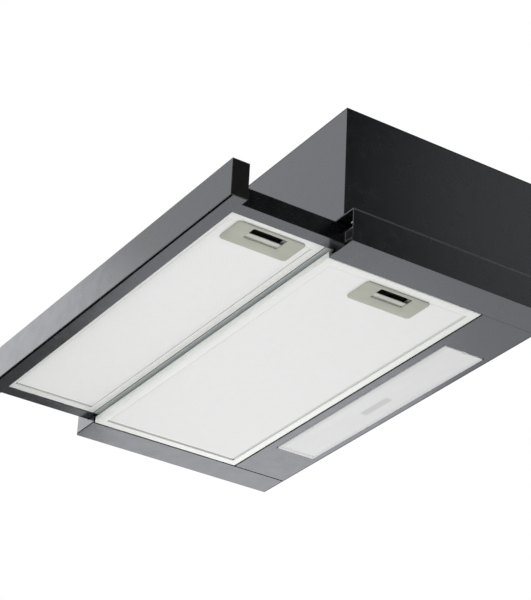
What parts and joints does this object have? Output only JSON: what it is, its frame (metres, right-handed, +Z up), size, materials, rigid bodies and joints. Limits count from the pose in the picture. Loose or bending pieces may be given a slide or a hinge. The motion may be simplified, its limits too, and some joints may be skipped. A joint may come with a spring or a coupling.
{
  "type": "range hood",
  "caption": "Slide-out under cabinet range hood: black steel box and tray, pull-out drawer with a front fascia, two grease filters with latches, lamp lens, blower and round duct collar.",
  "frame": {"origin": "centre of the flat back face that rests against the wall, half way up the 176 mm high body", "axes": "+X to the right as seen from the front, along the hood's width; +Y back towards the wall; +Z up"},
  "size_m": [0.598, 0.43, 0.2161],
  "materials": {
    "black_paint": "semi-gloss black powder paint",
    "fascia_paint": "satin dark grey paint on the front plate",
    "black_plastic": "moulded black plastic",
    "zinc_steel": "zinc plated steel",
    "filter_aluminium": "bright satin aluminium",
    "beige_plastic": "warm grey plastic",
    "pale_plastic": "pale plastic",
    "frosted_plastic": "frosted white lens",
    "white_paint": "white",
    "grey_plastic": "grey moulded plastic",
    "motor_steel": "zinc plated steel"
  },
  "bodies": {
    "body": {"upper_housing": "black_paint", "top_panel": "black_paint", "back_panel": "black_paint", "rear_underside_panel": "black_paint", "left_channel": "black_paint", "right_channel": "black_paint", "lamp_housing": "white_paint", "led_board": "white_paint", "lamp_terminal_block": "grey_plastic", "blower_housing": "grey_plastic", "blower_cover": "grey_plastic", "motor_bracket": "zinc_steel", "motor": "motor_steel", "capacitor": "white_paint", "outlet_collar": "black_plastic", "collar_flange": "black_plastic", "flap_hinge_rod": "zinc_steel", "left_collar_screw": "zinc_steel", "right_collar_screw": "zinc_steel", "junction_box": "black_plastic", "junction_box_lid": "black_plastic", "cable_gland": "black_plastic", "mains_terminal_block": "pale_plastic", "drawer_microswitch": "black_plastic", "left_fixed_runner": "zinc_steel", "right_fixed_runner": "zinc_steel"},
    "drawer": {"fascia_panel": "fascia_paint", "fascia_core": "black_paint", "drawer_top_plate": "black_paint", "drawer_rear_crossbar": "black_paint", "drawer_filter_rest": "zinc_steel", "switch_housing": "black_plastic", "left_drawer_rail": "black_paint", "right_drawer_rail": "black_paint", "left_fascia_end_cap": "black_plastic", "right_fascia_end_cap": "black_plastic", "left_fascia_screw": "zinc_steel", "right_fascia_screw": "zinc_steel", "left_drawer_runner": "zinc_steel", "right_drawer_runner": "zinc_steel"},
    "left_ball_cage": {"left_ball_cage": "zinc_steel"},
    "right_ball_cage": {"right_ball_cage": "zinc_steel"},
    "rear_filter": {"rear_filter_frame": "filter_aluminium", "rear_filter_mesh": "filter_aluminium", "rear_handle_plate": "beige_plastic", "rear_latch_spring": "zinc_steel"},
    "front_filter": {"front_filter_frame": "filter_aluminium", "front_filter_mesh": "filter_aluminium", "front_handle_plate": "beige_plastic", "front_latch_spring": "zinc_steel"},
    "rear_latch": {"rear_latch_slider": "pale_plastic"},
    "front_latch": {"front_latch_slider": "pale_plastic"},
    "lamp_lens": {"lamp_lens": "frosted_plastic"},
    "impeller": {"impeller": "black_plastic", "motor_shaft": "zinc_steel"},
    "front_damper_flap": {"front_damper_flap": "black_plastic"},
    "rear_damper_flap": {"rear_damper_flap": "black_plastic"},
    "light_slider": {"light_slider": "pale_plastic"},
    "fan_speed_slider": {"fan_speed_slider": "pale_plastic"},
    "microswitch_plunger": {"microswitch_plunger": "pale_plastic"}
  },
  "joints": [
    {"name": "drawer_slide", "type": "slide", "parent": "body", "child": "drawer", "axis": [0, -1, 0], "range_m": [-0.128, 0]},
    {"name": "left_ball_cage_slide", "type": "slide", "parent": "body", "child": "left_ball_cage", "axis": [0, -1, 0], "range_m": [-0.064, 0]},
    {"name": "right_ball_cage_slide", "type": "slide", "parent": "body", "child": "right_ball_cage", "axis": [0, -1, 0], "range_m": [-0.064, 0]},
    {"name": "rear_filter_hinge", "type": "hinge", "parent": "body", "child": "rear_filter", "pos_m": [-0.2535, -0.177, -0.088], "axis": [0, 1, 0], "range_deg": [0, 50]},
    {"name": "front_filter_hinge", "type": "hinge", "parent": "drawer", "child": "front_filter", "pos_m": [-0.2535, -0.3445, -0.076], "axis": [0, 1, 0], "range_deg": [0, 50]},
    {"name": "rear_latch_slide", "type": "slide", "parent": "rear_filter", "child": "rear_latch", "axis": [-1, 0, 0], "range_m": [0, 0.005], "stiffness_N_per_m": 300, "springref_m": -0.008, "deforming": ["rear_latch_spring"]},
    {"name": "front_latch_slide", "type": "slide", "parent": "front_filter", "child": "front_latch", "axis": [-1, 0, 0], "range_m": [0, 0.005], "stiffness_N_per_m": 300, "springref_m": -0.008, "deforming": ["front_latch_spring"]},
    {"name": "lamp_lens_hinge", "type": "hinge", "parent": "body", "child": "lamp_lens", "pos_m": [-0.1725, -0.036, -0.089], "axis": [0, 1, 0], "range_deg": [0, 75]},
    {"name": "impeller_spin", "type": "hinge", "parent": "body", "child": "impeller", "pos_m": [0, -0.145, 0.019], "axis": [1, 0, 0], "continuous": true},
    {"name": "front_flap_hinge", "type": "hinge", "parent": "body", "child": "front_damper_flap", "pos_m": [0, -0.109, 0.0907], "axis": [-1, 0, 0], "range_deg": [0, 70]},
    {"name": "rear_flap_hinge", "type": "hinge", "parent": "body", "child": "rear_damper_flap", "pos_m": [0, -0.103, 0.0907], "axis": [1, 0, 0], "range_deg": [0, 70]},
    {"name": "light_slider_slide", "type": "slide", "parent": "drawer", "child": "light_slider", "axis": [1, 0, 0], "range_m": [0, 0.012]},
    {"name": "fan_speed_slider_slide", "type": "slide", "parent": "drawer", "child": "fan_speed_slider", "axis": [1, 0, 0], "range_m": [0, 0.024]},
    {"name": "microswitch_plunger_slide", "type": "slide", "parent": "body", "child": "microswitch_plunger", "axis": [0, 1, 0], "range_m": [0, 0.003], "stiffness_N_per_m": 200, "springref_m": -0.004}
  ],
  "couplings": [
    {"joint": "left_ball_cage_slide", "follows": "drawer_slide", "ratio": 0.5},
    {"joint": "right_ball_cage_slide", "follows": "drawer_slide", "ratio": 0.5}
  ]
}
